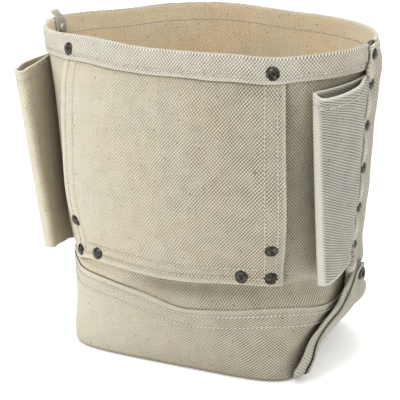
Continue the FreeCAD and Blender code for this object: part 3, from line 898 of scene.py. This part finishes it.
def make_floor_cloth(name, node, low, high, inset):
    """One layer of the base, slightly slack: rings of the base outline; inset is in percent."""
    turns = np.linspace(0, TAU, 181)[:-1]
    x, y, nx, ny = outline(0, turns)
    out = wall_relief(x, y, 0 * x)
    rings = np.linspace(0.02, 1, 40)[:, None] * (1 - inset / 100)
    x, y = rings * (x + out * nx), rings * (y + out * ny)
    share = rings / rings[-1]
    sag = 0.5 * (1 - share ** 4) * (0.5 + 0.5 * ripple(x, y, 60, 61))
    top = np.stack((x, y, high + sag), -1)
    bottom = np.stack((x, y, low + 0 * x), -1)[::-1]
    points = np.concatenate((top, bottom)).reshape(-1, 3)
    faces = [face[::-1] for face in tube_faces(2 * len(rings), len(turns))]
    piece = mesh_object(name, points, faces, points * (1, 1, 0), CANVAS)
    cloth(piece, [node])


# ---- corner ears
def ear_reach(side, u, v):
    """Distance of the ear's edge from the side seam, on the side of the seam where u lies."""
    to_front = u * SIGN[side] < 0
    return np.where(to_front, smooth_curve(EAR_EDGE[side], v), smooth_curve(EAR_EDGE["back"], v))


def make_ear_layer(side, layer, low, high, inset, nodes):
    """One layer of a folded corner, between two lifts; u runs from -1 to 1 across it along the cloth."""
    us = np.sin(np.linspace(-1, 1, 74) * math.pi / 2)
    vs = np.unique(np.concatenate((lines(0.7, EAR_TOP - 2, 1.8), [EAR_TOP - 1, EAR_TOP - 0.4])))
    opening = 7.4 if layer == "outer" else 6.8

    def place(u, v, lift):
        # The outer layer's edges lie inside those of the inner layer
        reach = ear_reach(side, u, v)
        u = u * np.maximum(reach - inset * ramp(v, 78, 60), 1) / reach
        reach = ear_reach(side, u, v)
        arc = u * reach
        edge = reach * (1 - np.abs(u))
        swell = 0.9 * bump(edge, 2, 6) + 1.2 * bump(edge, 26, 14) + 0.8 * ripple(arc, v, 30, 71)
        # The ear is fullest half way up, and its front edge stands open at the foot
        foot = ramp(-u * SIGN[side], 0, 0.5) * ramp(v, 38, 13) * ramp(v, 1, 9)
        swell = swell + 3.2 * bump(v, 46, 30) * ramp(edge, 4, 16)
        swell = (swell + opening * foot * ramp(edge, 26, 6)) * (1 if side == "right" else 0.35)
        press = ramp(np.hypot(arc, v - EAR_RIVET), 15, 5)
        lift = lift + swell * ramp(v, 76, 40) * (1 - press)
        lift = lift + np.interp(v, (0, STRIP_BOTTOM, EAR_TOP), EAR_LIFT[side])
        return skin(side, arc, np.maximum(v, 0), lift)

    def rounded(u, v):
        edge = np.clip((1 - np.abs(u)) * ear_reach(side, u, v) / 1.5, 0, 1)
        return (high - low) * 0.5 * (1 - np.sqrt(1 - (1 - edge) ** 2))

    piece = sheet_mesh("ear_" + layer + "_" + side, us, vs, place, lambda u, v: high - rounded(u, v),
                       lambda u, v: low + rounded(u, v), CANVAS_EAR, rim=0.012, worn=(1, 1, 0, 1),
                       coords=lambda u, v: (u * ear_reach(side, u, v), v))
    cloth(piece, nodes)


def make_ear(side):
    """The folded corner: an inner layer with a round fold at its edge and a narrower outer layer."""
    make_ear_layer(side, "inner", 0, 2.7, 0, [])
    make_ear_layer(side, "outer", 2.8, 5, 9.5, ["ear_" + side])


# ---- side seams
def strip_place(side, u, v, lift):
    full = seam_fullness(v)
    crest = ramp(v, STRIP_TOP + 1, STRIP_TOP - 5)
    # The front edge is scalloped between the rivets and the rest is padded a little
    toward_front = -u * SIGN[side]
    width = 1 + (0.50 * full * crest + 0.30 * ramp(v, 228, 236)) * ramp(toward_front, 0, 4)
    puff = (0.45 * full * ramp(-toward_front, 7, 0) + 0.25 * ripple(u, v, 18, 81)) * crest
    return skin(side, u * width, v, lift + puff)


def strip_inner_lift(v):
    return np.interp(v, (STRIP_BOTTOM, SLEEVE_BOTTOM - 4, STRIP_TOP), (PLY + 0.1, 2 * PLY, 2 * PLY))


def make_strip(side):
    low, high = (-STRIP_FRONT, STRIP_BACK) if side == "right" else (-STRIP_BACK, STRIP_FRONT)
    us = lines(low + 1.1, high - 1.1, 1)
    vs = lines(STRIP_BOTTOM + 1, STRIP_TOP - 1, 1.8)

    def outer(u, v):
        # A padded roll runs along the back edge, and the strip thickens where it meets the ear
        toward_back = u * SIGN[side]
        roll = 3.4 * bump(toward_back, 7.5, 7) * ramp(v, STRIP_BOTTOM, 84) * ramp(v, 253, 240)
        end = 2.6 * bump(v, 80, 24) + 1.3 * ramp(toward_back, -1, -5)
        scallop = 1.3 * seam_fullness(v) * ramp(toward_back, 1, -5)
        return strip_inner_lift(v) + 2.1 + scallop + roll + end

    piece = sheet_mesh("seam_strip_cloth_" + side, us, vs, partial(strip_place, side), outer,
                       lambda u, v: strip_inner_lift(v), CANVAS_TAPE, rim=1.1)
    cloth(piece, ["seam_strip_" + side])


def make_tape(side):
    """Tape inside the side seam; the end of the left one stands above the rim in a small loop."""
    loop = 5 if side == "left" else 0
    top = HEIGHT - 0.6 + loop

    def place(u, v, lift):
        above = np.maximum(v - (HEIGHT - 1), 0)
        width = 1 - 0.35 * ramp(v, HEIGHT - 4, HEIGHT + 3)
        wave = 0.35 * ripple(u, v, 20, 91) * ramp(v, HEIGHT, HEIGHT - 10)
        return skin(side, u * width, v, lift + wave + 0.9 * above)

    us = lines(-TAPE_HALF + 0.6, TAPE_HALF - 0.6, 1.4)
    vs = lines(4, top, 2.4)
    piece = sheet_mesh("seam_tape_cloth_" + side, us, vs, place, -PLY - 0.05, -2 * PLY, CANVAS_TAPE)
    cloth(piece, ["seam_tape_" + side, "sleeve_tail_" + side])
    rows = np.linspace(HEIGHT - 4, 12, 200)
    runs = [(place, u, rows, -2 * PLY - 0.02) for u in (-TAPE_HALF + 2.2, TAPE_HALF - 2.2)]
    stitches("tape_stitches_" + side, runs, [])


# ---- sleeves
def section_curve():
    """Middle of the sleeve's ply across its section: distance from the seam and off the wall side.

    It starts inside the seam on the wall side, goes round the fold and ends in the seam again.
    """
    inset = PLY / 2
    width = SLEEVE_WIDTH - inset
    control = np.array([
        (-10, -1), (-5, -0.9), (1, -0.8), (14, -1.3), (0.5 * width, -SLEEVE_INNER + inset),
        (0.8 * width, -SLEEVE_INNER + inset), (width - 3.6, -2.2), (width - 1, -1.1), (width, 0.6),
        (width - 0.4, 2.8), (width - 2.4, 5.2), (0.82 * width, 7.2), (0.56 * width, SLEEVE_OUTER),
        (0.28 * width, 6.8), (9, 3.6), (1, 0.2), (-5, 0.6), (-10, 0.5),
    ])
    chord = run_length(control)
    dense = np.linspace(0, chord[-1], 700)
    points = np.stack([smooth_curve(list(zip(chord, control[:, k])), dense) for k in (0, 1)], -1)
    travelled = run_length(points)
    fold = travelled[np.argmax(points[:, 0])]
    return travelled - fold, points


SECTION_U, SECTION_POINTS = section_curve()


def hinge(side, v):
    """Point of the fold line between a sleeve and its seam, at a height."""
    ends = [np.interp(z, WALL_LEVELS[:, 0], WALL_LEVELS[:, 1]) + HINGE_OFF_WALL
            for z in (SLEEVE_BOTTOM, SLEEVE_TOP)]
    part = (v - SLEEVE_BOTTOM) / (SLEEVE_TOP - SLEEVE_BOTTOM)
    return SIGN[side] * (ends[0] + part * (ends[1] - ends[0])), part


def section(u):
    """Distance from the seam and off the wall side, at lengths round the section."""
    return tuple(np.interp(u, SECTION_U, SECTION_POINTS[:, k]) for k in (0, 1))


def sleeve_place(side, u, v, lift):
    """u goes round the section from the wall side to the outer side; lift is out of the tube."""
    sign, pose, mouth = SIGN[side], SLEEVE_POSE[side], SLEEVE_MOUTH[side]
    along, across = section(u)
    ahead, behind = section(u + 0.5), section(u - 0.5)
    d_along, d_across = ahead[0] - behind[0], ahead[1] - behind[1]
    length = np.maximum(np.hypot(d_along, d_across), 1e-6)
    up, down = v - SLEEVE_BOTTOM, SLEEVE_TOP - v
    outer_side = ramp(u, 4, 22)
    slack = outer_side * (0.8 * ripple(along, v, 40, 95 if sign > 0 else 96))
    slack = slack * ramp(along, 0, 16) * ramp(along, SLEEVE_WIDTH, SLEEVE_WIDTH - 12)
    # Near the seam the outer ply dips at each rivet
    dip = 0.9 * seam_fullness(v) * bump(along, 6, 10) * outer_side
    belly = bump(along, 0.56 * SLEEVE_WIDTH, 0.5 * SLEEVE_WIDTH) * outer_side
    lips = bump(along, 0.88 * SLEEVE_WIDTH, 0.48 * SLEEVE_WIDTH) * ramp(u, 0, 6)
    gape = lips - 0.5 * bump(along, 0.26 * SLEEVE_WIDTH, 14) * outer_side
    slack = slack + mouth["gape"] * gape * ramp(down, 60, 0)
    lift = lift + slack + dip - mouth["flat"] * belly * ramp(up, 45, 0)
    along = along + lift * d_across / length
    across = across - lift * d_along / length
    hinge_x, part = hinge(side, v)
    turn = np.radians(pose["bottom"] + part * (pose["top"] - pose["bottom"]))
    rise = pose["bottom_rise"] + part * (pose["top_rise"] - pose["bottom_rise"])
    reach = np.maximum(along, 0) / SLEEVE_WIDTH
    turn = turn * (1 - SLEEVE_CURL + SLEEVE_CURL * reach) * ramp(along, -6, 3)
    x = hinge_x + sign * (-along * np.sin(turn) + across * np.cos(turn))
    y = HINGE_Y - along * np.cos(turn) - across * np.sin(turn)
    # The part inside the seam lies closer to the wall
    x = x - sign * 2.2 * ramp(along, 1, -8)
    near_seam = 1 - np.clip(reach, 0, 1)
    z = v + rise * reach - mouth["droop"] * lips * ramp(down, 28, 0)
    z = z + near_seam * (mouth["seam_up"] * ramp(down, 90, 0) + mouth["foot_up"] * ramp(up, 45, 0))
    z = z + 0.9 * ripple(u, 0 * v, 45, 97) * ramp(down, 30, 0)
    z = z + 1.1 * ripple(u, 0 * v, 38, 98) * ramp(up, 30, 0)
    return np.stack(np.broadcast_arrays(x, y, z), -1)


def make_sleeve(side):
    place = partial(sleeve_place, side)
    round_fold = np.linspace(-7, 7, 15)
    us = np.unique(np.concatenate((lines(SECTION_U[0] + 1, -8.5, 1.9), round_fold,
                                   lines(8.5, SECTION_U[-1] - 1, 1.9))))
    seam = SLEEVE_TOP - SLEEVE_HEM + 2
    vs = lines(SLEEVE_BOTTOM + 0.6, SLEEVE_TOP - 0.8, GRID, (seam,))

    def outer(u, v):
        dents = groove(v, (seam,), 0.35) * ramp(u, -30, -20)
        return PLY / 2 + dents + 0.15 * ripple(u, v, 9, 99) * bump(v, seam, 7)

    def inner(u, v):
        hem = ramp(SLEEVE_TOP - v, SLEEVE_HEM + 0.8, SLEEVE_HEM - 0.4)
        return -PLY / 2 - 0.85 * hem * ramp(section(u)[0], 0, 5)

    # The left sleeve gets a lighter copy of the canvas: painted light
    finish = CANVAS_SLEEVE if side == "right" else CANVAS_LEFT_SLEEVE_LIT
    piece = sheet_mesh("sleeve_cloth_" + side, us, vs, place, outer, inner, finish, rim=0.62, fold=1.2)
    stitch = stitches("sleeve_stitches_" + side, [
        (place, np.linspace(-48, 54, 260), seam, PLY / 2 - 0.2)], [], body=None)
    inside = stitches("sleeve_stitches_inside_" + side, [
        (place, np.linspace(50, -50, 260), seam, -PLY / 2 - 0.85)], [], -13, None)
    for part in (piece, stitch, inside):
        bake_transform(part)
    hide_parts("sleeve_" + side, "sleeve_hem_" + side)
    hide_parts("thread_sleeve_" + side)


# ---- rivets
def lathe(profile, sides, point, normal, seed, rough=0):
    """Turned shape on a point: profile is (radius, height) from the axis outwards."""
    rng = np.random.default_rng(seed)
    z_axis = Vector(normal).normalized()
    x_axis = z_axis.orthogonal().normalized()
    axes = np.array([x_axis, z_axis.cross(x_axis), z_axis])
    spin = rng.uniform(0, TAU)
    tilt = rng.uniform(-0.06, 0.06, 2)
    vertices = []
    for radius, height in profile:
        for k in range(sides):
            turn = spin + TAU * k / sides
            x, y = radius * math.cos(turn), radius * math.sin(turn)
            wobble = rough * math.sin(3 * turn + seed) * radius / 5
            wobble += rough * 0.7 * math.sin(5 * turn + radius * 2 + 2 * seed)
            lift = height + tilt[0] * x + tilt[1] * y + (wobble if 0 < radius < 4.5 else 0)
            vertices.append(np.asarray(point) + np.array([x, y, lift]) @ axes)
    return vertices, [face[::-1] for face in tube_faces(len(profile), sides)], []


# Sections of a domed head, a hollow rivet's rolled rim and a burr: radius and height
HEAD_PROFILE = (
    (0.25, 2.5), (1.2, 2.44), (2.3, 2.18), (3.3, 1.68), (4.1, 1.02), (4.6, 0.5), (5, 0.32),
    (5.2, 0.08), (5, -0.2), (3, -0.25), (1.6, -0.3), (1.6, -6), (0.3, -6))
HOLLOW_PROFILE = (
    (0.3, -1.6), (2.4, -1.6), (2.75, -0.6), (2.8, 1), (3, 1.75), (3.6, 2.15), (4.4, 1.95),
    (5, 1.3), (5.3, 0.5), (5.2, -0.1), (3, -0.3), (1.6, -0.4), (1.6, -6), (0.3, -6))
BURR_PROFILE = (
    (1.1, 1.2), (1.9, 1.25), (2.5, 0.9), (2.6, 0.75), (3.9, 0.7), (4.1, 0.45), (4, 0), (1.1, 0))


def seats_on(place, spots, lift):
    """Points and outward directions of a group's rivets, on a surface."""
    seats = []
    for u, v in spots:
        points, normals = seam_frames(place, np.array([float(u)]), np.array([float(v)]), lift)
        seats.append((points[0], normals[0]))
    return seats


def rivet_group(name, seats, node, profile=HEAD_PROFILE, rough=0.10, finish=RIVET_PAINTED_DARK, slot="rivet"):
    turned = [lathe(profile, 40, point, normal, 100 + number, rough)
              for number, (point, normal) in enumerate(seats)]
    hardware(name, *joined(turned), finish, slot, [node])


def make_rivets():
    left, right = RIVET_ARC["left"], RIVET_ARC["right"]
    foot = []
    for arc, inward in ((left, RIVET_IN), (right, -RIVET_IN)):
        foot += [(arc, RIVET_FOOT), (arc, RIVET_FOOT + RIVET_UP), (arc + inward, RIVET_FOOT)]
    top = [(left, RIVET_TOP), (right, RIVET_TOP)]
    front = partial(skin, "front")
    rivet_group("rivet_heads_tunnel_top", seats_on(front, top, 3.5), "rivets_tunnel_top")
    rivet_group("rivet_heads_tunnel_foot", seats_on(tunnel_place, foot, PLY + 0.55),
                "rivets_tunnel_bottom")
    inside = [("tunnel_top", front, top, PLY), ("tunnel_bottom", front, foot, PLY)]
    seam, ear = [(0, z) for z in SIDE_RIVETS], [(0, EAR_RIVET)]
    for side in ("left", "right"):
        wall = partial(skin, side)
        rivet_group("rivet_heads_seam_" + side, seats_on(partial(strip_place, side), seam, 4.4),
                    "rivets_seam_" + side)
        rivet_group("rivet_hollow_ear_" + side, seats_on(wall, ear, EAR_LIFT[side][2] + 4.1),
                    "rivets_ear_" + side, HOLLOW_PROFILE, 0.06)
        inside += [("seam_" + side, wall, seam, 2 * PLY), ("ear_" + side, wall, ear, 2 * PLY)]
    for name, place, spots, depth in inside:
        seats = [(point, -normal) for point, normal in seats_on(place, spots, -depth - 0.1)]
        rivet_group("burr_rings_" + name, seats, "burrs_" + name, BURR_PROFILE, 0, BURR, "burr")


# ---- loose threads
def thread_tube(points, radius, sides=6):
    """Thin round tube along points."""
    points = np.asarray(points, float)
    tangents = np.gradient(points, axis=0)
    tangents /= np.linalg.norm(tangents, axis=1, keepdims=True)
    guide = np.array([0.3, 0.2, 0.93])
    side = np.cross(tangents, guide)
    side /= np.linalg.norm(side, axis=1, keepdims=True)
    up = np.cross(side, tangents)
    vertices = []
    for i, point in enumerate(points):
        for k in range(sides):
            turn = TAU * k / sides
            vertices.append(point + radius * (math.cos(turn) * side[i] + math.sin(turn) * up[i]))
    return vertices, tube_faces(len(points), sides), []


def make_frayed_threads():
    """Loose yarn ends at the belt tunnel's lower right corner."""
    rng = np.random.default_rng(7)
    tubes = []
    spots = [(TUNNEL_HALF + 0.4, TUNNEL_BOTTOM + d) for d in (1, 2.2, 4, 6.5, 9, 12, 15)]
    spots += [(TUNNEL_HALF - d, TUNNEL_BOTTOM - 0.3) for d in (1, 2.6, 5, 9)]
    for u, v in spots:
        low = v < TUNNEL_BOTTOM
        reach = rng.uniform(2.5, 6.5)
        t = np.linspace(0, 1, 9)
        bend = rng.uniform(-1.6, 1.6)
        out = rng.uniform(0.2, 1.6)
        drop = rng.uniform(0.3, 1.8)
        du = bend * t ** 2 if low else reach * t
        dv = -reach * 0.8 * t if low else bend * t ** 2 - drop * t
        points = tunnel_place(u + du, np.full(9, v) + dv, 0.7 + out * np.sin(t * 2.2))
        tubes.append(thread_tube(points, 0.2))
    vertices, faces, _ = joined(tubes)
    threads = [(i * 0.3, 0, 0) for i in range(len(vertices))]
    hardware("frayed_threads", vertices, faces, threads, THREAD, "thread", [])


# ---- floor, lights and camera
AZIMUTH, ELEVATION, ROLL = np.radians((25.5, 20.4, -1.5)).tolist()
DISTANCE = 1.035            # metres, from the target
TARGET = (-0.0077 * math.cos(AZIMUTH), -0.0077 * math.sin(AZIMUTH), 0.1133)
LENS = 115.83               # mm, on a 36 mm sensor


def camera_axes():
    """Right, up and back directions of the camera."""
    back = Vector((math.sin(AZIMUTH) * math.cos(ELEVATION), -math.cos(AZIMUTH) * math.cos(ELEVATION),
                   math.sin(ELEVATION)))
    right = Vector((0, 0, 1)).cross(back).normalized()
    up = back.cross(right)
    c, s = math.cos(ROLL), math.sin(ROLL)
    return right * c + up * s, up * c - right * s, back


def make_camera():
    right, up, back = camera_axes()
    data = bpy.data.cameras.new("camera")
    data.sensor_width = 36
    data.lens = LENS
    camera = add_object("camera", data)
    turn = Matrix((right, up, back)).transposed()
    camera.matrix_world = Matrix.Translation(Vector(TARGET) + back * DISTANCE) @ turn.to_4x4()
    bpy.context.scene.camera = camera


def make_floor():
    size = 6000
    corners = [(-size, -size, 0), (size, -size, 0), (size, size, 0), (-size, size, 0)]
    s = Shader("floor_paper")
    where = s.node("ShaderNodeNewGeometry").outputs["Position"]
    base = s.mix(s.remap(s.noise(where, 3), 0.4, 0.6), (0.965, 0.965, 0.965), (0.975, 0.975, 0.975))
    paper = s.finish(base, Roughness=0.9, Specular_IOR_Level=0.1, Emission_Color=(1, 1, 1, 1),
                     Emission_Strength=0.2)
    mesh_object("floor", corners, [(0, 1, 2, 3)], (), paper)


def area_light(name, direction, distance, size, power):
    data = bpy.data.lights.new(name, "AREA")
    data.shape = "DISK"
    data.size = size
    data.energy = power
    light = add_object(name, data)
    away = Vector(direction).normalized()
    light.matrix_world = (Matrix.Translation(Vector((0, 0, 0.12)) + away * distance)
                          @ away.to_track_quat("Z", "Y").to_matrix().to_4x4())


def make_lights():
    right, _, back = camera_axes()
    overhead = Vector((0, 0, 1))
    area_light("key", -0.95 * right + 0.55 * back + 0.75 * overhead, 1.6, 2, 4.5)
    area_light("glint", -0.6 * right + 0.8 * back + 0.9 * overhead, 1.6, 0.6, 5)
    area_light("fill", right + 0.2 * back + 0.35 * overhead, 2.2, 1.4, 4)
    area_light("top", overhead - 0.35 * back, 1.9, 1.4, 17)
    world = bpy.data.worlds.new("studio")
    world.use_nodes = True
    background = world.node_tree.nodes["Background"]
    background.inputs["Color"].default_value = (1, 1, 1, 1)
    background.inputs["Strength"].default_value = 0.97
    bpy.context.scene.world = world
    bpy.context.scene.view_settings.view_transform = "Standard"


# ---- the scene
make_camera()
make_floor()
make_lights()
for wall_face in ("front", "back"):
    make_wall(wall_face)
    make_hem(wall_face)
    make_double_bottom(wall_face)
make_floor_cloth("inner_base", "body_base", PLY + 0.1, 2 * PLY, 1.6)
make_floor_cloth("double_bottom_base", "bottom_patch_base", 0, PLY - 0.3, 2.6)
make_tunnel()
for bag_side in ("left", "right"):
    make_ear(bag_side)
    make_strip(bag_side)
    make_tape(bag_side)
    make_sleeve(bag_side)
make_rivets()
make_frayed_threads()
